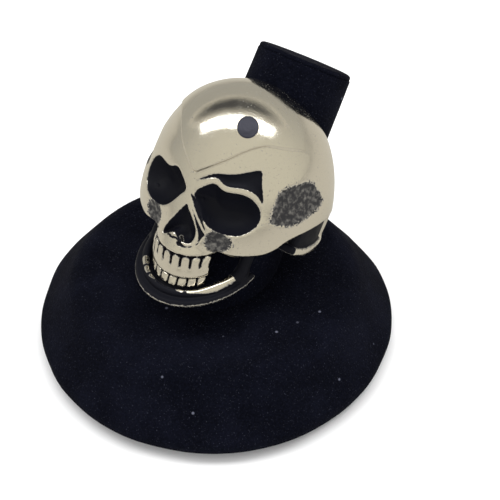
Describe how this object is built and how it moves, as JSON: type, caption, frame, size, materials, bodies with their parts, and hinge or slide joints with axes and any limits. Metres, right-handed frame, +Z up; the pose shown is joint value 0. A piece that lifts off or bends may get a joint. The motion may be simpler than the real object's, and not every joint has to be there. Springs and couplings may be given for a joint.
{
  "type": "skull finger ring on ring display stand",
  "caption": "Polished skull-shaped finger ring with a blackened relief, seated on the leaning velvet-covered post of a round padded display stand.",
  "frame": {"origin": "centre of the felt under the base, on the surface that the stand rests on", "axes": "+Z up; -Y is the side that the skull's face looks towards, and the post leans back towards +Y; +X is the skull's left"},
  "size_m": [0.06, 0.0621, 0.0466],
  "materials": {
    "velvet": "short-pile velvet, near black with a blue cast",
    "foam": "thin open-cell foam, hidden",
    "felt": "pressed felt",
    "core_wood": "turned, unpainted, hidden",
    "ring_steel": "polished, with blackened recesses",
    "blackened_steel": "blackened, polished face",
    "screw_steel": "zinc plated"
  },
  "bodies": {
    "stand": {"base_core": "core_wood", "base_foam": "foam", "base_velvet": "velvet", "base_felt": "felt", "post_core": "core_wood", "post_velvet": "velvet", "post_end_disc": "velvet", "post_screw": "screw_steel", "screw_washer": "screw_steel"},
    "ring": {"ring_band": "ring_steel", "skull_head": "ring_steel", "lower_jaw": "ring_steel", "forehead_plaque": "blackened_steel"}
  },
  "joints": [
    {"name": "ring_slide", "type": "slide", "parent": "stand", "child": "ring", "axis": [0, 0.6428, 0.766], "range_m": [0, 0.045]}
  ]
}
